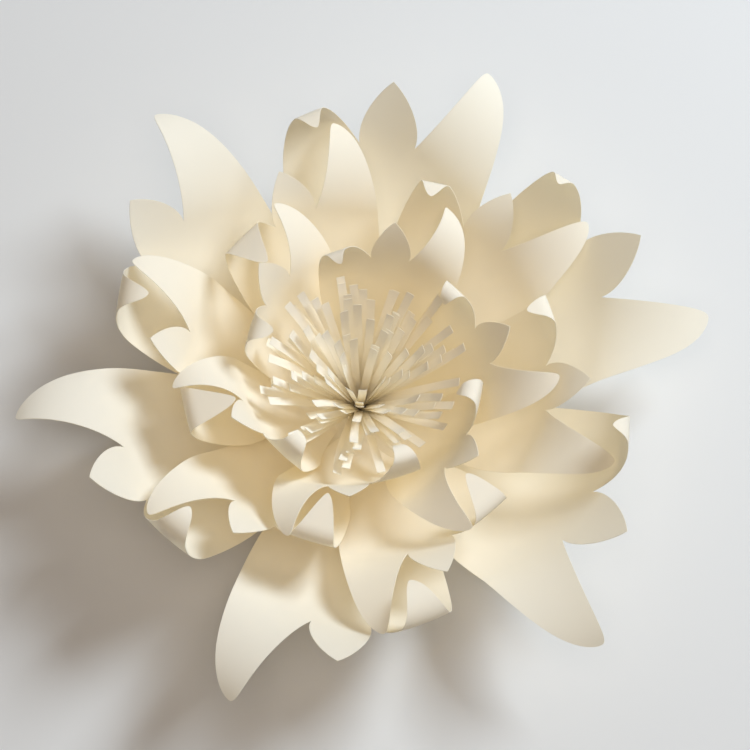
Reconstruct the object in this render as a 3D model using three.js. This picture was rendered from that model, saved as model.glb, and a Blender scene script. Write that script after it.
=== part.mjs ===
// Giant paper flower, millimetres, +Z out of the flower's face, origin on the back of the base disc.
// Eighteen three-lobed petals cut from card stock stand in three rings of six on a round card disc,
// round a centre of paper strips that are fringed along one edge and rolled up.
import * as THREE from "three";

// Driving sizes
const CARD_THICKNESS = 0.5;
const GLUE_GAP = 0.4;
const DISC_RADIUS = 62;
const DISC_THICKNESS = 2;
const PETAL_INNER_RADIUS = 12;
const FOLD_RADIUS = 8;
const FRINGE_WIDTH = 7;
const FRINGE_PITCH = 7.6;
const STRIP_COUNT = 5;
const TURNS_PER_STRIP = 3;
const TURN_PITCH = 0.75;
const ROLL_OUTER_RADIUS = 15;
const ROLL_INNER_RADIUS = ROLL_OUTER_RADIUS - STRIP_COUNT * TURNS_PER_STRIP * TURN_PITCH;
const STRIP_THICKNESS = 0.3;
const BAND_HEIGHT = 20;
const RIBBON_BEND_RADIUS = 22;
const OUTER_RIBBON_SLOPE = 48;
const INNER_RIBBON_SLOPE = 84;
const LONGEST_RIBBON = 124;
const BUNDLES = 9;

const rad = THREE.MathUtils.degToRad;
const point = (x, y) => new THREE.Vector2(x, y);

// The flat petal at the largest size, drawn with its tab at the origin and its point up +Y.
const NOTCH = point(24, 228);
const POINTED_TIP = point(0, 288);
const SIDE_LOBE_TIP = point(85, 306);
const TAB_END = point(6, 0);
const WAIST = point(70, 115);
const WIDEST = point(92, 232);

const LOWER_SIDE = new THREE.LineCurve(TAB_END, WAIST);
const UPPER_SIDE = new THREE.CubicBezierCurve(WAIST, point(80, 136), point(91, 190), WIDEST);
const LOBE_OUTER = new THREE.CubicBezierCurve(WIDEST, point(93, 264), point(95, 302), SIDE_LOBE_TIP);
const LOBE_INNER = new THREE.CubicBezierCurve(SIDE_LOBE_TIP, point(77, 308), point(44, 257), NOTCH);
const POINTED_EDGE = new THREE.CubicBezierCurve(NOTCH, point(29, 248), point(15, 274), POINTED_TIP);

// How each ring's petals are shaped. Angles are in degrees, and lengths in millimetres on the
// full-size template. A petal rises from rootSlope at its tab to notchSlope at its notches, and is
// cupped across. Of its side lobes, the left one is lifted and its end rolled forward, and the right
// one is curled back. "Turn" is how far such a bend is turned from the petal's own length.
// Each petal was bent by hand, so beside its ring's values it has its own place round the flower
// ("at"), slope ("steeper"), twist, back curl, roll angle and longer or shorter rolled end.
const RINGS = [
  {
    name: "outer_petal",
    scale: 1,
    tab: 16,
    rootSlope: 3,
    notchSlope: 53,
    cup: 0.0052,
    liftAngle: 54,
    liftTurn: 18,
    rollAngle: 110,
    rollRadius: 18,
    rollLength: 26,
    backAngle: 108,
    backTurn: 35,
    pointAngle: -16,
    petals: [
      { at: 27, steeper: -4, twist: 0, back: 0, roll: 0, longer: -8 },
      { at: 84, steeper: -1, twist: 0, back: 0, roll: 0, longer: 0 },
      { at: 145, steeper: 3, twist: 0, back: 0, roll: 0, longer: 4 },
      { at: 204, steeper: 2, twist: 0, back: 6, roll: 0, longer: 8 },
      { at: 265, steeper: 1, twist: 0, back: 0, roll: 20, longer: 22 },
      { at: 327, steeper: -1, twist: 0, back: 0, roll: -25, longer: -6 },
    ],
  },
  {
    name: "middle_petal",
    scale: 0.79,
    tab: 14,
    rootSlope: 15,
    notchSlope: 62,
    cup: 0.0034,
    liftAngle: 42,
    liftTurn: 14,
    rollAngle: 80,
    rollRadius: 16,
    rollLength: 54,
    backAngle: 106,
    backTurn: 27,
    pointAngle: -41,
    petals: [
      { at: -3, steeper: 0, twist: 1, back: 0, roll: -5, longer: -20 },
      { at: 51, steeper: -5, twist: 8, back: -22, roll: -20, longer: -22 },
      { at: 112, steeper: 1, twist: 7, back: 0, roll: -26, longer: 8 },
      { at: 173, steeper: 3, twist: 4, back: -15, roll: 0, longer: 10 },
      { at: 233, steeper: 3, twist: 5, back: -10, roll: 0, longer: 4 },
      { at: 291, steeper: 1, twist: 3, back: 0, roll: 0, longer: 0 },
    ],
  },
  {
    name: "inner_petal",
    scale: 0.66,
    tab: 12,
    rootSlope: 42,
    notchSlope: 71,
    cup: 0.0036,
    liftAngle: 54,
    liftTurn: 22,
    rollAngle: 140,
    rollRadius: 12,
    rollLength: 35,
    backAngle: 110,
    backTurn: 34,
    pointAngle: -30,
    petals: [
      { at: 14, steeper: 0, twist: 8, back: 0, roll: 0, longer: 0 },
      { at: 77, steeper: 0, twist: 9, back: 22, roll: -20, longer: -14 },
      { at: 135, steeper: 1, twist: 9, back: -12, roll: -10, longer: 0 },
      { at: 203, steeper: 2, twist: 9, back: 0, roll: 0, longer: 0 },
      { at: 263, steeper: 3, twist: 10, back: 0, roll: 0, longer: 0 },
      { at: 319, steeper: 1, twist: 9, back: 0, roll: 0, longer: 4 },
    ],
  },
];

// Bends the sheet point p = {u, v, w} about a line. The line runs square to the direction that is
// turned by "turn" from the petal's axis. Past the line the sheet follows a cylinder for "angle",
// then goes on straight. A positive angle bends to the front.
function bend(p, throughU, throughV, turn, radius, angle) {
  const side = Math.sign(angle);
  const dirU = Math.sin(turn);
  const dirV = Math.cos(turn);
  const past = (p.u - throughU) * dirU + (p.v - throughV) * dirV;
  if (past <= 0 || side === 0) return p;
  const onCurve = Math.min(past, Math.abs(angle) * radius);
  const after = past - onCurve;
  const a = onCurve / radius;
  const height = p.w * side;
  const along = (radius - height) * Math.sin(a) + after * Math.cos(a);
  const up = radius - (radius - height) * Math.cos(a) + after * Math.sin(a);
  return {
    u: p.u + dirU * (along - past),
    v: p.v + dirV * (along - past),
    w: up * side,
  };
}

// Where a point of the flat template goes on the finished petal. "lobe" says what it belongs to.
function shapePetal(ring, u, v, lobe, w) {
  let p = { u, v, w };
  if (lobe === "pointed") {
    p = bend(p, 0, NOTCH.y, 0, 60 / Math.abs(rad(ring.pointAngle)), rad(ring.pointAngle));
  } else if (u > 0) {
    const turn = rad(ring.liftTurn);
    const rollU = SIDE_LOBE_TIP.x - ring.rollLength * Math.sin(turn);
    const rollV = SIDE_LOBE_TIP.y - ring.rollLength * Math.cos(turn);
    p = bend(p, rollU, rollV, turn, ring.rollRadius, rad(ring.rollAngle));
    p = bend(p, NOTCH.x, NOTCH.y, turn, 110 / rad(ring.liftAngle), rad(ring.liftAngle));
  } else {
    const turn = -rad(ring.backTurn);
    p = bend(p, -NOTCH.x, NOTCH.y, turn, 110 / rad(ring.backAngle), -rad(ring.backAngle));
  }
  u = p.u * ring.scale;
  v = p.v * ring.scale;
  w = p.w * ring.scale;
  // The cup across the petal and the turn to one side grow from the tab outward.
  const grow = THREE.MathUtils.smoothstep(v, ring.tab, ring.tab + 110 * ring.scale);
  const cup = (ring.cup / ring.scale) * grow + 1e-9;
  const twist = rad(ring.twist) * grow;
  const across = (1 / cup - w) * Math.sin(u * cup);
  const raised = 1 / cup - (1 / cup - w) * Math.cos(u * cup);
  const side = across * Math.cos(twist) - raised * Math.sin(twist);
  const lift = across * Math.sin(twist) + raised * Math.cos(twist);
  // Lengthwise the tab is flat, then folds up to the root slope and curves on to the notch slope.
  const root = rad(ring.rootSlope);
  const curve = (rad(ring.notchSlope) - root) / (NOTCH.y * ring.scale - ring.tab);
  const past = v - ring.tab;
  let slope = 0;
  let out = past;
  let up = 0;
  if (past > 0 && past < FOLD_RADIUS * root) {
    slope = past / FOLD_RADIUS;
    out = FOLD_RADIUS * Math.sin(slope);
    up = FOLD_RADIUS * (1 - Math.cos(slope));
  } else if (past > 0) {
    slope = root + curve * (past - FOLD_RADIUS * root);
    out = FOLD_RADIUS * Math.sin(root) + (Math.sin(slope) - Math.sin(root)) / curve;
    up = FOLD_RADIUS * (1 - Math.cos(root)) - (Math.cos(slope) - Math.cos(root)) / curve;
  }
  return new THREE.Vector3(
    PETAL_INNER_RADIUS + ring.tab + out - lift * Math.sin(slope),
    side,
    up + lift * Math.cos(slope),
  );
}

// Makes one closed body from a sheet of faces: fronts, backs, and a rim wherever a face has no
// neighbour. Each vertex is {front, back}, and each face lists vertex numbers counter-clockwise.
function sheetGeometry(vertices, faces) {
  const positions = [];
  const triangle = (a, b, c) => positions.push(...a.toArray(), ...b.toArray(), ...c.toArray());
  const edgeUses = new Map();
  const key = (a, b) => `${a},${b}`;
  for (const face of faces) {
    face.forEach((a, i) => edgeUses.set(key(a, face[(i + 1) % face.length]), true));
  }
  for (const face of faces) {
    for (let i = 1; i < face.length - 1; i++) {
      const [a, b, c] = [vertices[face[0]], vertices[face[i]], vertices[face[i + 1]]];
      triangle(a.front, b.front, c.front);
      triangle(a.back, c.back, b.back);
    }
    face.forEach((from, i) => {
      const to = face[(i + 1) % face.length];
      if (edgeUses.has(key(to, from))) return;
      const [a, b] = [vertices[from], vertices[to]];
      triangle(a.back, b.back, b.front);
      triangle(a.back, b.front, a.front);
    });
  }
  const geometry = new THREE.BufferGeometry();
  geometry.setAttribute("position", new THREE.Float32BufferAttribute(positions, 3));
  geometry.computeVertexNormals();
  return geometry;
}

// Half the petal's width at a distance v from its inner end.
function halfWidth(v) {
  if (v <= WAIST.y) return LOWER_SIDE.getPoint(v / WAIST.y).x;
  let low = 0;
  let high = 1;
  for (let i = 0; i < 30; i++) {
    const middle = (low + high) / 2;
    if (UPPER_SIDE.getPoint(middle).y < v) low = middle;
    else high = middle;
  }
  return UPPER_SIDE.getPoint(low).x;
}

// The outer edge of a side lobe, from the notch level (t = 0) to the tip (t = 1).
function lobeOuterEdge(t) {
  const straight = 0.1;
  if (t > straight) return LOBE_OUTER.getPoint((t - straight) / (1 - straight));
  const v = NOTCH.y + (WIDEST.y - NOTCH.y) * (t / straight);
  return point(halfWidth(v), v);
}

const BODY_STEPS = [0, 0.5, 1];
const SIDE_LOBE_STEPS = 9;
const POINTED_STEPS = 3;

function petalGeometry(ring) {
  const vertices = [];
  const faces = [];
  const add = (u, v, lobe) => {
    const half = CARD_THICKNESS / 2 / ring.scale;
    vertices.push({
      front: shapePetal(ring, u, v, lobe, half),
      back: shapePetal(ring, u, v, lobe, -half),
    });
    return vertices.length - 1;
  };
  // Rows of the body, each from the right edge (negative u) to the left edge.
  const tabEnd = ring.tab / ring.scale;
  const rows = [0, tabEnd, tabEnd + 8, 55, 85, WAIST.y, 150, 178, 204, NOTCH.y].map((v) => {
    const width = halfWidth(v);
    const notch = (NOTCH.x * width) / halfWidth(NOTCH.y);
    const sides = BODY_STEPS.slice(1).map((step) => notch + (width - notch) * step);
    const across = [...sides.map((u) => -u).reverse(), -notch, 0, notch, ...sides];
    return across.map((u) => add(u, v, "body"));
  });
  const strip = (from, to) => {
    for (let i = 0; i < from.length - 1; i++) {
      const face = [from[i + 1], from[i], to[i], to[i + 1]];
      faces.push(face.filter((vertex, k) => face.indexOf(vertex) === k));
    }
  };
  for (let i = 0; i < rows.length - 1; i++) strip(rows[i], rows[i + 1]);
  const last = rows[rows.length - 1];
  const middle = (last.length - 1) / 2;

  // The two long side lobes: rows between the inner edge and the outer edge, closing at the tip.
  for (const side of [1, -1]) {
    const base = side > 0 ? last.slice(middle + 1) : last.slice(0, middle).reverse();
    let previous = base;
    for (let row = 1; row <= SIDE_LOBE_STEPS; row++) {
      const t = row / SIDE_LOBE_STEPS;
      const inner = LOBE_INNER.getPoint(1 - t);
      const outer = lobeOuterEdge(t);
      const tip = row === SIDE_LOBE_STEPS ? add(side * SIDE_LOBE_TIP.x, SIDE_LOBE_TIP.y, "side") : -1;
      const current = base.map((unused, i) => {
        if (tip >= 0) return tip;
        const p = inner.clone().lerp(outer, BODY_STEPS[i]);
        return add(side * p.x, p.y, "side");
      });
      if (side > 0) strip(previous, current);
      else strip([...previous].reverse(), [...current].reverse());
      previous = current;
    }
  }

  // The short pointed lobe between them.
  let previous = last.slice(middle - 1, middle + 2);
  for (let row = 1; row <= POINTED_STEPS; row++) {
    const edge = POINTED_EDGE.getPoint(row / POINTED_STEPS);
    const tip = row === POINTED_STEPS ? add(0, POINTED_TIP.y, "pointed") : -1;
    const current = [-1, 0, 1].map((side) => (tip >= 0 ? tip : add(side * edge.x, edge.y, "pointed")));
    strip(previous, current);
    previous = current;
  }
  return sheetGeometry(vertices, faces);
}

// The fringed strips. Each is wound as a flat spiral, and above the wound band its ribbons bend
// outward, the outer ones furthest.

// Repeatable scatter between -1 and 1 for ribbon number n.
const scatter = (n) => 2 * (Math.abs(Math.sin(n * 12.9898) * 43758.5453) % 1) - 1;

// A point on a ribbon: "across" is the distance from its middle line, "along" the distance above the
// band's lower edge and w the distance out from the middle of the paper.
function ribbonPoint(ribbon, across, along, w) {
  const onBand = Math.min(along, BAND_HEIGHT);
  const onBend = Math.min(along - onBand, RIBBON_BEND_RADIUS * ribbon.tilt);
  const after = along - onBand - onBend;
  const a = onBend / RIBBON_BEND_RADIUS;
  const bendOut = RIBBON_BEND_RADIUS * (1 - Math.cos(a));
  const radius = ribbon.start + bendOut + after * Math.sin(a) + w * Math.cos(a);
  const height = onBand + RIBBON_BEND_RADIUS * Math.sin(a) + after * Math.cos(a) - w * Math.sin(a);
  const round = ribbon.middle + across / radius + ribbon.lean * (after / LONGEST_RIBBON) ** 2;
  return new THREE.Vector3(radius * Math.cos(round), radius * Math.sin(round), height);
}

// The ribbons of one strip. Each starts at "start" from the axis and "middle" round the spiral, is
// tilted outward from upright, and leans sideways a little, toward the nearest of the bundles.
function ribbonsOfStrip(number) {
  const ribbons = [];
  const firstAngle = number * TURNS_PER_STRIP * 2 * Math.PI;
  const lastAngle = firstAngle + TURNS_PER_STRIP * 2 * Math.PI;
  const startAt = (angle) => ROLL_OUTER_RADIUS - (TURN_PITCH * angle) / (2 * Math.PI);
  let angle = firstAngle;
  while (angle + FRINGE_PITCH / startAt(angle) < lastAngle - 0.1) {
    const pick = number * 40 + ribbons.length;
    const middle = angle + FRINGE_PITCH / 2 / startAt(angle);
    const start = startAt(middle);
    const share = (start - ROLL_INNER_RADIUS) / (ROLL_OUTER_RADIUS - ROLL_INNER_RADIUS);
    const slope = THREE.MathUtils.lerp(INNER_RIBBON_SLOPE, OUTER_RIBBON_SLOPE, share);
    ribbons.push({
      middle,
      start,
      tilt: rad(90 - slope + scatter(pick + 900)),
      lean: 0.06 * scatter(pick + 500) + 0.08 * Math.sin(BUNDLES * middle),
      length: LONGEST_RIBBON * (0.92 + 0.08 * scatter(pick)) * (1 - 0.025 * number),
    });
    angle += FRINGE_PITCH / startAt(angle);
  }
  return ribbons;
}

function stripGeometry(number) {
  const vertices = [];
  const faces = [];
  const half = STRIP_THICKNESS / 2;
  let previous = null;
  for (const ribbon of ribbonsOfStrip(number)) {
    const bend = RIBBON_BEND_RADIUS * ribbon.tilt;
    const levels = [-BAND_HEIGHT, 0, bend / 2, bend, ribbon.length];
    const rows = levels.map((above) =>
      [-0.5, 0, 0.5].map((side) => {
        const across = side * FRINGE_WIDTH;
        const along = BAND_HEIGHT + above;
        vertices.push({
          front: ribbonPoint(ribbon, across, along, -half),
          back: ribbonPoint(ribbon, across, along, half),
        });
        return vertices.length - 1;
      }),
    );
    for (let row = 0; row < rows.length - 1; row++) {
      for (let i = 0; i < 2; i++) {
        faces.push([rows[row][i], rows[row + 1][i], rows[row + 1][i + 1], rows[row][i + 1]]);
      }
    }
    if (previous) faces.push([previous[0], previous[1], rows[1][0], rows[0][0]]);
    previous = [rows[0][2], rows[1][2]];
  }
  return sheetGeometry(vertices, faces);
}

const flower = new THREE.Group();

function addPiece(name, geometry, colour, roughness) {
  const material = new THREE.MeshStandardMaterial({ color: colour, roughness, metalness: 0 });
  const mesh = new THREE.Mesh(geometry, material);
  mesh.name = name;
  flower.add(mesh);
  return mesh;
}

// Base disc
const disc = new THREE.CylinderGeometry(DISC_RADIUS, DISC_RADIUS, DISC_THICKNESS, 48);
disc.rotateX(Math.PI / 2);
disc.translate(0, 0, DISC_THICKNESS / 2);
addPiece("base_disc", disc, 0xe9e2cf, 0.95);

// Petals, one ring on top of the other
RINGS.forEach((ring, level) => {
  const height = DISC_THICKNESS + (GLUE_GAP + CARD_THICKNESS) * (level + 1) - CARD_THICKNESS / 2;
  ring.petals.forEach((petal, i) => {
    const own = {
      ...ring,
      rootSlope: ring.rootSlope + petal.steeper / 2,
      notchSlope: ring.notchSlope + petal.steeper * 2,
      twist: petal.twist,
      backAngle: ring.backAngle + petal.back,
      rollAngle: ring.rollAngle + petal.roll,
      rollLength: ring.rollLength + petal.longer,
    };
    const piece = addPiece(`${ring.name}_${i + 1}`, petalGeometry(own), 0xf6edd8, 0.9);
    piece.position.z = height;
    piece.rotation.z = rad(petal.at);
  });
});

// Rolled fringe
const fringeHeight = DISC_THICKNESS + (GLUE_GAP + CARD_THICKNESS) * RINGS.length + GLUE_GAP;
for (let i = 0; i < STRIP_COUNT; i++) {
  const strip = addPiece(`stamen_strip_${i + 1}`, stripGeometry(i), 0xf6edd8, 0.9);
  strip.position.z = fringeHeight;
}

export default flower;
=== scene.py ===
from math import cos, pi, radians, sin

import bmesh
import bpy
from mathutils import Matrix, Vector
from mathutils.geometry import interpolate_bezier


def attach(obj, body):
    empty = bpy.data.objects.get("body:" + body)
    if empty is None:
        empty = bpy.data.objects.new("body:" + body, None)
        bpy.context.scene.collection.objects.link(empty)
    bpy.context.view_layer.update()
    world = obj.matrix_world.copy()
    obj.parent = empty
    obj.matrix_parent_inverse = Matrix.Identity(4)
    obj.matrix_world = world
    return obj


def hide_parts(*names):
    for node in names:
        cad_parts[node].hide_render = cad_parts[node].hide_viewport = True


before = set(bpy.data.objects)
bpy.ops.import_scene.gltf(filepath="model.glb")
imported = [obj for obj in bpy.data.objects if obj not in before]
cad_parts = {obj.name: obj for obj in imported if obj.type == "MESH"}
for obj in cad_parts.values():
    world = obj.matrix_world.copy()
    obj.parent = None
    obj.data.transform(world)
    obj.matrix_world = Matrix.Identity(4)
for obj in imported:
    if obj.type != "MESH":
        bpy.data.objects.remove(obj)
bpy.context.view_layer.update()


# --- Backing disc -----------------------------------------------------------
# A round of thick uncoated card behind the flower. Every petal tab is glued to its
# front, and its flat back rests on the table or wall.
def paper_finish(name, colour, shade, glow, let_through, grain):
    """Matt uncoated paper: two close tones in soft clouds, a felt grain, and light through it.

    The glow colours the share of the light that the sheet lets through.
    """
    material = bpy.data.materials.new(name)
    material.use_nodes = True
    nodes = material.node_tree.nodes
    links = material.node_tree.links
    paper = nodes["Principled BSDF"]
    paper.inputs["Roughness"].default_value = 0.85
    paper.inputs["Specular IOR Level"].default_value = 0.25
    place = nodes.new("ShaderNodeTexCoord")
    clouds = nodes.new("ShaderNodeTexNoise")
    clouds.inputs["Scale"].default_value = 22.0
    clouds.inputs["Detail"].default_value = 5.0
    clouds.inputs["Roughness"].default_value = 0.65
    tones = nodes.new("ShaderNodeValToRGB")
    tones.color_ramp.elements[0].position = 0.3
    tones.color_ramp.elements[0].color = (*shade, 1.0)
    tones.color_ramp.elements[1].position = 0.7
    tones.color_ramp.elements[1].color = (*colour, 1.0)
    felt = nodes.new("ShaderNodeTexNoise")
    felt.inputs["Scale"].default_value = grain
    felt.inputs["Detail"].default_value = 4.0
    felt.inputs["Roughness"].default_value = 0.6
    bump = nodes.new("ShaderNodeBump")
    bump.inputs["Strength"].default_value = 0.12
    bump.inputs["Distance"].default_value = 0.0002
    through = nodes.new("ShaderNodeBsdfTranslucent")
    through.inputs["Color"].default_value = (*glow, 1.0)
    both = nodes.new("ShaderNodeMixShader")
    both.inputs["Fac"].default_value = let_through
    links.new(place.outputs["Object"], clouds.inputs["Vector"])
    links.new(place.outputs["Object"], felt.inputs["Vector"])
    links.new(clouds.outputs["Fac"], tones.inputs["Fac"])
    links.new(tones.outputs["Color"], paper.inputs["Base Color"])
    links.new(felt.outputs["Fac"], bump.inputs["Height"])
    links.new(bump.outputs["Normal"], paper.inputs["Normal"])
    links.new(paper.outputs["BSDF"], both.inputs[1])
    links.new(through.outputs["BSDF"], both.inputs[2])
    links.new(both.outputs["Shader"], nodes["Material Output"].inputs["Surface"])
    return material


GLOW = (1.0, 0.94, 0.76)
DISC_CREAM = (0.93, 0.89, 0.79)
DISC_CREAM_SHADE = (0.90, 0.86, 0.76)
disc_card = paper_finish("disc_card", DISC_CREAM, DISC_CREAM_SHADE, GLOW, let_through=0.0, grain=500.0)
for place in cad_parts["base_disc"].material_slots:
    place.material = disc_card


# --- Petals -----------------------------------------------------------------
# Eighteen petals cut from ivory card stock to one template in three sizes: a glued
# tab, two long rounded side lobes and a short pointed lobe between them. One side
# lobe is rolled forward round a rod and the other is curled back by hand. The template
# is in millimetres, with the tab at the origin and the pointed lobe up +Y.
MM = 0.001
TAB_MIDDLE = Vector((0, 0))
TAB_END = Vector((6, 0))
WAIST = Vector((70, 115))
WIDEST = Vector((92, 232))
SIDE_LOBE_TIP = Vector((85, 306))
NOTCH = Vector((24, 228))
POINTED_TIP = Vector((0, 288))
CARD_THICKNESS = 0.5
PETAL_INNER_RADIUS = 12
FOLD_RADIUS = 8
LOBE_BEND_LENGTH = 110
POINT_BEND_LENGTH = 60
POINT_WIDENING = 0.35
CUP_LENGTH = 110
ALMOST_FLAT = 1e-9
LOBES_START = 190
LOBE_STEP = 3.2
BODY_STEP = 6.4

# What every ring shares, with the sizes in millimetres and the angles in degrees, and then
# how each petal of it was shaped by hand: its place round the flower, how much steeper it
# stands, its twist, and how much more its back curl, its roll and the rolled length are.

RINGS = [
    dict(
        name="outer_petal", scale=1, height=2.65, tab=16, root_slope=3, notch_slope=53,
        cup=0.0052, lift_angle=54, lift_turn=18, roll_angle=110, roll_radius=18,
        roll_length=26, back_angle=108, back_turn=35, point_angle=-16,
        petals=[
            dict(at=27, steeper=-4, twist=0, back=0, roll=0, longer=-8),
            dict(at=84, steeper=-1, twist=0, back=0, roll=0, longer=0),
            dict(at=145, steeper=3, twist=0, back=0, roll=0, longer=4),
            dict(at=204, steeper=2, twist=0, back=6, roll=0, longer=8),
            dict(at=265, steeper=1, twist=0, back=0, roll=20, longer=22),
            dict(at=327, steeper=-1, twist=0, back=0, roll=-25, longer=-6),
        ],
    ),
    dict(
        name="middle_petal", scale=0.79, height=3.55, tab=14, root_slope=15, notch_slope=62,
        cup=0.0034, lift_angle=42, lift_turn=14, roll_angle=80, roll_radius=16,
        roll_length=54, back_angle=106, back_turn=27, point_angle=-41,
        petals=[
            dict(at=-3, steeper=0, twist=1, back=0, roll=-5, longer=-20),
            dict(at=51, steeper=-5, twist=8, back=-22, roll=-20, longer=-22),
            dict(at=112, steeper=1, twist=7, back=0, roll=-26, longer=8),
            dict(at=173, steeper=3, twist=4, back=-15, roll=0, longer=10),
            dict(at=233, steeper=3, twist=5, back=-10, roll=0, longer=4),
            dict(at=291, steeper=1, twist=3, back=0, roll=0, longer=0),
        ],
    ),
    dict(
        name="inner_petal", scale=0.66, height=4.45, tab=12, root_slope=42, notch_slope=71,
        cup=0.0036, lift_angle=54, lift_turn=22, roll_angle=140, roll_radius=12,
        roll_length=35, back_angle=110, back_turn=34, point_angle=-30,
        petals=[
            dict(at=14, steeper=0, twist=8, back=0, roll=0, longer=0),
            dict(at=77, steeper=0, twist=9, back=22, roll=-20, longer=-14),
            dict(at=135, steeper=1, twist=9, back=-12, roll=-10, longer=0),
            dict(at=203, steeper=2, twist=9, back=0, roll=0, longer=0),
            dict(at=263, steeper=3, twist=10, back=0, roll=0, longer=0),
            dict(at=319, steeper=1, twist=9, back=0, roll=0, longer=4),
        ],
    ),
]


def cut_lines(sheet, axis, places):
    """Score a flat sheet square to an axis so that it can bend there."""
    direction = Vector((0, 0, 0))
    direction[axis] = 1
    for place in places:
        bmesh.ops.bisect_plane(
            sheet, geom=sheet.verts[:] + sheet.edges[:] + sheet.faces[:],
            dist=0.02, plane_co=direction * place, plane_no=direction,
        )


def thicken(sheet, thickness):
    """Give a flat sheet its thickness and mark its cut edge."""
    for vert in sheet.verts:
        vert.co.z = -thickness / 2
    grown = bmesh.ops.extrude_face_region(
        sheet, geom=sheet.verts[:] + sheet.edges[:] + sheet.faces[:], use_keep_orig=True,
    )["geom"]
    tops = [item for item in grown if isinstance(item, bmesh.types.BMVert)]
    bmesh.ops.translate(sheet, verts=tops, vec=(0, 0, thickness))
    bmesh.ops.recalc_face_normals(sheet, faces=sheet.faces)
    for face in sheet.faces:
        face.smooth = True
        if abs(face.normal.z) < 0.5:
            face.material_index = 1
    for edge in sheet.edges:
        if len({face.material_index for face in edge.link_faces}) > 1:
            edge.smooth = False


def flat_petal(scale):
    """One petal as cut and scored, still flat and full size, with its thickness for the scale."""
    sheet = bmesh.new()
    # Each edge of the right half: its start, the two handles of its curve, its end, its points.
    edges = [
        (TAB_END, TAB_END, WAIST, WAIST, 2),
        (WAIST, Vector((80, 136)), Vector((91, 190)), WIDEST, 14),
        (WIDEST, Vector((93, 264)), Vector((95, 302)), SIDE_LOBE_TIP, 16),
        (SIDE_LOBE_TIP, Vector((77, 308)), Vector((44, 257)), NOTCH, 18),
        (NOTCH, Vector((29, 248)), Vector((15, 274)), POINTED_TIP, 12),
    ]
    outline = [TAB_MIDDLE]
    for start, start_handle, end_handle, end, count in edges:
        outline += interpolate_bezier(start, start_handle, end_handle, end, count)[:-1]
    outline.append(POINTED_TIP)
    sheet.faces.new([sheet.verts.new((point[0], point[1], 0)) for point in outline])
    bmesh.ops.mirror(sheet, geom=sheet.faces[:], axis="X", merge_dist=0.001)
    bmesh.ops.remove_doubles(sheet, verts=sheet.verts, dist=0.001)
    lobe_rows = int((SIDE_LOBE_TIP.y - LOBES_START) / LOBE_STEP)
    half_columns = int(WIDEST.x / LOBE_STEP)
    rows = [step * BODY_STEP for step in range(1, int(LOBES_START / BODY_STEP))]
    rows += [LOBES_START + step * LOBE_STEP for step in range(lobe_rows)]
    columns = [side * step * LOBE_STEP for step in range(1, half_columns + 1) for side in (-1, 1)]
    cut_lines(sheet, 1, rows)
    cut_lines(sheet, 0, columns)
    bmesh.ops.recalc_face_normals(sheet, faces=sheet.faces)
    thicken(sheet, CARD_THICKNESS / scale)
    return sheet


def bend(point, through, turn, radius, angle):
    """Bend about a line through a place on the sheet; a positive angle bends to the front."""
    side = 1 if angle > 0 else -1
    direction = Vector((sin(turn), cos(turn), 0))
    past = (point - Vector((through.x, through.y, 0))).xy.dot(direction.xy)
    if past <= 0 or angle == 0:
        return point
    on_curve = min(past, abs(angle) * radius)
    after = past - on_curve
    a = on_curve / radius
    height = point.z * side
    along = (radius - height) * sin(a) + after * cos(a)
    up = radius - (radius - height) * cos(a) + after * sin(a)
    bent = point + direction * (along - past)
    bent.z = up * side
    return bent


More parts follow.
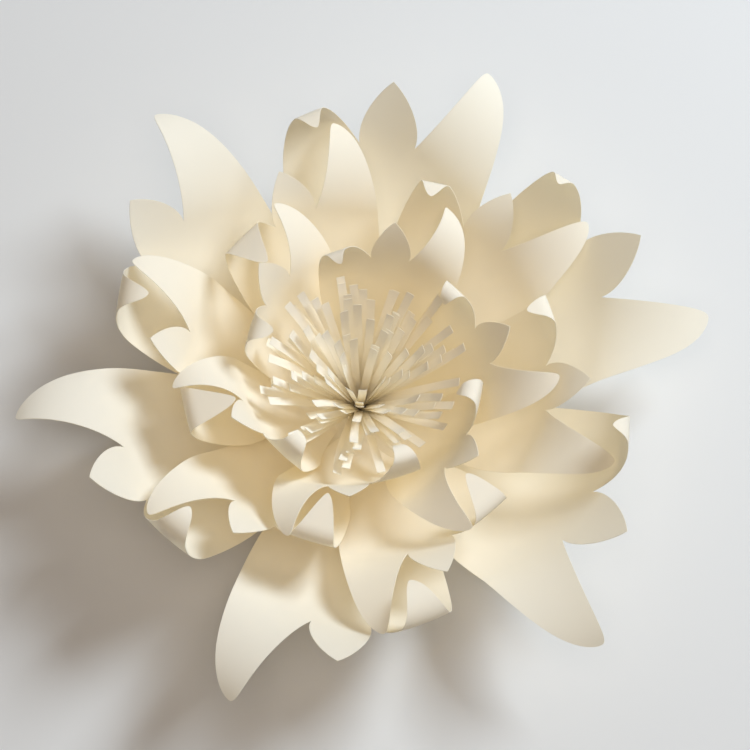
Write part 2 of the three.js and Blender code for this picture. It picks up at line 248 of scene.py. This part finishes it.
def shape_petal(point, ring, petal):
    """Where a point of the flat petal goes on the finished flower, in millimetres."""
    scale = ring["scale"]
    tab = ring["tab"]
    past_notch = point.y - NOTCH.y
    if past_notch > 0 and abs(point.x) < NOTCH.x + POINT_WIDENING * past_notch:
        angle = radians(ring["point_angle"])
        point = bend(point, Vector((0, NOTCH.y)), 0, POINT_BEND_LENGTH / abs(angle), angle)
    elif point.x > 0:
        turn = radians(ring["lift_turn"])
        length = ring["roll_length"] + petal["longer"]
        start = SIDE_LOBE_TIP - length * Vector((sin(turn), cos(turn)))
        angle = radians(ring["roll_angle"] + petal["roll"])
        point = bend(point, start, turn, ring["roll_radius"], angle)
        angle = radians(ring["lift_angle"])
        point = bend(point, NOTCH, turn, LOBE_BEND_LENGTH / angle, angle)
    else:
        turn = -radians(ring["back_turn"])
        angle = radians(ring["back_angle"] + petal["back"])
        point = bend(point, Vector((-NOTCH.x, NOTCH.y)), turn, LOBE_BEND_LENGTH / angle, -angle)
    u, v, w = point * scale
    # The cup across the petal and its twist grow from the tab outward.
    grow = min(max((v - tab) / (CUP_LENGTH * scale), 0), 1)
    grow = grow * grow * (3 - 2 * grow)
    cup = ring["cup"] / scale * grow + ALMOST_FLAT
    twist = radians(petal["twist"]) * grow
    across = (1 / cup - w) * sin(u * cup)
    raised = 1 / cup - (1 / cup - w) * cos(u * cup)
    side = across * cos(twist) - raised * sin(twist)
    lift = across * sin(twist) + raised * cos(twist)
    # Lengthwise the tab is flat, then folds up and curves on to the notches.
    root = radians(ring["root_slope"] + petal["steeper"] / 2)
    notch = radians(ring["notch_slope"] + petal["steeper"] * 2)
    curve = (notch - root) / (NOTCH.y * scale - tab)
    past = v - tab
    slope, out, up = 0, past, 0
    if 0 < past < FOLD_RADIUS * root:
        slope = past / FOLD_RADIUS
        out = FOLD_RADIUS * sin(slope)
        up = FOLD_RADIUS * (1 - cos(slope))
    elif past > 0:
        slope = root + curve * (past - FOLD_RADIUS * root)
        out = FOLD_RADIUS * sin(root) + (sin(slope) - sin(root)) / curve
        up = FOLD_RADIUS * (1 - cos(root)) - (cos(slope) - cos(root)) / curve
    radius = PETAL_INNER_RADIUS + tab + out - lift * sin(slope)
    at = radians(petal["at"])
    return Vector((
        radius * cos(at) - side * sin(at),
        radius * sin(at) + side * cos(at),
        ring["height"] + up + lift * cos(slope),
    ))


def finished_piece(name, sheet, materials, node):
    """Turn a shaped sheet into an object that stands for its CAD node."""
    if sheet.calc_volume(signed=True) < 0:
        bmesh.ops.reverse_faces(sheet, faces=sheet.faces)
    mesh = bpy.data.meshes.new(name)
    sheet.to_mesh(mesh)
    sheet.free()
    for material in materials:
        mesh.materials.append(material)
    piece = bpy.data.objects.new(name, mesh)
    bpy.context.collection.objects.link(piece)
    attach(piece, "root")
    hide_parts(node)


IVORY = (0.99, 0.972, 0.93)
IVORY_SHADE = (0.986, 0.965, 0.918)
CUT_IVORY = (0.992, 0.98, 0.95)
petal_card = paper_finish("petal_card", IVORY, IVORY_SHADE, GLOW, let_through=0.36, grain=700.0)
cut_edge = paper_finish("cut_edge", CUT_IVORY, IVORY, GLOW, let_through=0.3, grain=900.0)

for ring in RINGS:
    template = flat_petal(ring["scale"])
    for number, petal in enumerate(ring["petals"], start=1):
        sheet = template.copy()
        for vert in sheet.verts:
            vert.co = shape_petal(vert.co.copy(), ring, petal) * MM
        node = f"{ring['name']}_{number}"
        finished_piece(f"{node}_card", sheet, (petal_card, cut_edge), node)
    template.free()


# --- Rolled fringe ----------------------------------------------------------
# Five strips of ivory paper, each fringed along one edge and wound round the one
# inside it. The wound band is glued upright in the middle, and its ribbons are
# spread outward by hand into loose bundles, the outer ones furthest.
STRIP_COUNT = 5
TURNS_PER_STRIP = 3
TURN_PITCH = 0.75
ROLL_OUTER_RADIUS = 15
ROLL_INNER_RADIUS = ROLL_OUTER_RADIUS - STRIP_COUNT * TURNS_PER_STRIP * TURN_PITCH
STRIP_THICKNESS = 0.3
BAND_HEIGHT = 20
FRINGE_WIDTH = 7
FRINGE_PITCH = 7.6
RIBBON_BEND_RADIUS = 22
OUTER_RIBBON_SLOPE = 48
INNER_RIBBON_SLOPE = 84
LONGEST_RIBBON = 124
BUNDLES = 9
MEAN_RIBBON_SHARE = 0.92
RIBBON_SHARE_SCATTER = 0.08
SHORTER_PER_STRIP = 0.025
LOOSE_LEAN = 0.06
BUNDLE_LEAN = 0.08
STRIP_END_GAP = 0.1
FRINGE_BASE = 5.1
SLIT = FRINGE_PITCH - FRINGE_WIDTH
RIBBON_COLUMNS = (0.27, 0.5, 0.73)
RIBBON_ROWS = (0, 0.03, 0.06, 0.09, 0.12, 0.15, 0.2, 0.3, 0.45, 0.6, 0.8)


def scatter(number):
    """Repeatable scatter between -1 and 1."""
    return 2 * (abs(sin(number * 12.9898) * 43758.5453) % 1) - 1


def spiral_radius(angle):
    """How far out the winding is after turning this far inward from its outer end."""
    return ROLL_OUTER_RADIUS - TURN_PITCH * angle / (2 * pi)


def ribbons_of_strip(number):
    """How each ribbon of a strip stands: place on the spiral, tilt outward, lean and length."""
    ribbons = []
    angle = number * TURNS_PER_STRIP * 2 * pi
    last_angle = angle + TURNS_PER_STRIP * 2 * pi
    while angle + FRINGE_PITCH / spiral_radius(angle) < last_angle - STRIP_END_GAP:
        pick = number * 40 + len(ribbons)
        middle = angle + FRINGE_PITCH / 2 / spiral_radius(angle)
        start = spiral_radius(middle)
        share = (start - ROLL_INNER_RADIUS) / (ROLL_OUTER_RADIUS - ROLL_INNER_RADIUS)
        slope = INNER_RIBBON_SLOPE + share * (OUTER_RIBBON_SLOPE - INNER_RIBBON_SLOPE)
        length_share = MEAN_RIBBON_SHARE + RIBBON_SHARE_SCATTER * scatter(pick)
        ribbons.append(dict(
            middle=middle,
            start=start,
            tilt=radians(90 - slope + scatter(pick + 900)),
            lean=LOOSE_LEAN * scatter(pick + 500) + BUNDLE_LEAN * sin(BUNDLES * middle),
            length=LONGEST_RIBBON * length_share * (1 - SHORTER_PER_STRIP * number),
        ))
        angle += FRINGE_PITCH / spiral_radius(angle)
    return ribbons


def ribbon_point(ribbon, across, along, w):
    """Where a point of a fringed strip goes once it is wound and spread, in millimetres."""
    on_band = min(along, BAND_HEIGHT)
    on_bend = min(along - on_band, RIBBON_BEND_RADIUS * ribbon["tilt"])
    after = along - on_band - on_bend
    a = on_bend / RIBBON_BEND_RADIUS
    radius = ribbon["start"] + RIBBON_BEND_RADIUS * (1 - cos(a)) + after * sin(a) + w * cos(a)
    height = on_band + RIBBON_BEND_RADIUS * sin(a) + after * cos(a) - w * sin(a)
    about = ribbon["middle"] + across / radius + ribbon["lean"] * (after / LONGEST_RIBBON) ** 2
    return Vector((radius * cos(about), radius * sin(about), height + FRINGE_BASE))


FRINGE_IVORY = (0.992, 0.982, 0.957)
fringe_paper = paper_finish("fringe_paper", FRINGE_IVORY, CUT_IVORY, GLOW, let_through=0.28, grain=900.0)

for number in range(STRIP_COUNT):
    ribbons = ribbons_of_strip(number)
    # The flat strip, its ribbons as high as its band until each gets its own length.
    margin = SLIT / 2
    strip_length = len(ribbons) * FRINGE_PITCH - SLIT
    sheet = bmesh.new()
    bmesh.ops.create_grid(sheet, x_segments=1, y_segments=1, size=0.5)
    bmesh.ops.scale(sheet, verts=sheet.verts, vec=(strip_length, 2 * BAND_HEIGHT, 1))
    bmesh.ops.translate(sheet, verts=sheet.verts, vec=(margin + strip_length / 2, BAND_HEIGHT, 0))
    slits = [i * FRINGE_PITCH + side * margin for i in range(1, len(ribbons)) for side in (-1, 1)]
    columns = [(i + part) * FRINGE_PITCH for i in range(len(ribbons)) for part in RIBBON_COLUMNS]
    cut_lines(sheet, 0, slits + columns)
    cut_lines(sheet, 1, [BAND_HEIGHT * (1 + row) for row in RIBBON_ROWS])
    waste = []
    for face in sheet.faces:
        middle = face.calc_center_median()
        off_slit = abs(middle.x / FRINGE_PITCH - round(middle.x / FRINGE_PITCH)) * FRINGE_PITCH
        if middle.y > BAND_HEIGHT and off_slit < margin:
            waste.append(face)
    bmesh.ops.delete(sheet, geom=waste, context="FACES")
    thicken(sheet, STRIP_THICKNESS)
    for vert in sheet.verts:
        index = min(int(vert.co.x / FRINGE_PITCH), len(ribbons) - 1)
        ribbon = ribbons[index]
        across = vert.co.x - (index + 0.5) * FRINGE_PITCH
        above = (vert.co.y - BAND_HEIGHT) / BAND_HEIGHT
        along = BAND_HEIGHT + above * (ribbon["length"] if above > 0 else BAND_HEIGHT)
        vert.co = ribbon_point(ribbon, across, along, vert.co.z) * MM
    node = f"stamen_strip_{number + 1}"
    finished_piece(f"{node}_paper", sheet, (fringe_paper, cut_edge), node)


# --- Table, light and camera ------------------------------------------------
# The flower lies face up on a pale plain surface, lit softly from its upper right.
TABLE_GREY = (0.78, 0.785, 0.79, 1)
TABLE_GAP = 0.0004
bpy.ops.mesh.primitive_plane_add(size=30.0, location=(0, 0, -TABLE_GAP))
table = bpy.context.object
table.name = "table_top"
table.data.transform(table.matrix_world)
table.matrix_world.identity()
table_paint = bpy.data.materials.new("table_paint")
table_paint.use_nodes = True
table_coat = table_paint.node_tree.nodes["Principled BSDF"]
table_coat.inputs["Base Color"].default_value = TABLE_GREY
table_coat.inputs["Roughness"].default_value = 0.9
table.data.materials.append(table_paint)


def soft_box(name, azimuth, elevation, distance, size, power, colour):
    """A square soft box that looks at the flower from a compass direction and a height."""
    light = bpy.data.lights.new(name, "AREA")
    light.size = size
    light.energy = power
    light.color = colour
    lamp = bpy.data.objects.new(name, light)
    bpy.context.collection.objects.link(lamp)
    a, e = radians(azimuth), radians(elevation)
    direction = Vector((cos(a) * cos(e), sin(a) * cos(e), sin(e)))
    lamp.location = direction * distance
    lamp.rotation_euler = direction.to_track_quat("Z", "Y").to_euler()


# A cool key from the upper right, and a weak warm one from the front that fills the middle.
COOL_WHITE = (0.84, 0.93, 1.0)
WARM_WHITE = (1.0, 0.87, 0.74)
soft_box("key_light", 38, 48, distance=3.3, size=1.1, power=91, colour=COOL_WHITE)
soft_box("front_light", 265, 78, distance=3.2, size=1.6, power=24, colour=WARM_WHITE)

sky = bpy.data.worlds.new("studio_air")
sky.use_nodes = True
sky.node_tree.nodes["Background"].inputs["Color"].default_value = (1.0, 0.85, 0.74, 1)
sky.node_tree.nodes["Background"].inputs["Strength"].default_value = 0.14
bpy.context.scene.world = sky
bpy.context.scene.view_settings.view_transform = "Standard"
# Light bounces many times between pale sheets, which is what lights the folds.
bpy.context.scene.cycles.diffuse_bounces = 18
bpy.context.scene.cycles.transmission_bounces = 18
bpy.context.scene.cycles.max_bounces = 26

camera_data = bpy.data.cameras.new("camera")
camera_data.lens = 98.2
camera_data.sensor_width = 36
camera = bpy.data.objects.new("camera", camera_data)
bpy.context.collection.objects.link(camera)
# It looks down from 1.8 m, swung 16 degrees from straight above toward the flower's foot.
lean = Vector((0.27, -0.03, 0))
stand = Matrix.Translation((0.0135, 0.0299, 1.8))
camera.matrix_world = Matrix.Rotation(lean.length, 4, lean.normalized()) @ stand
bpy.context.scene.camera = camera
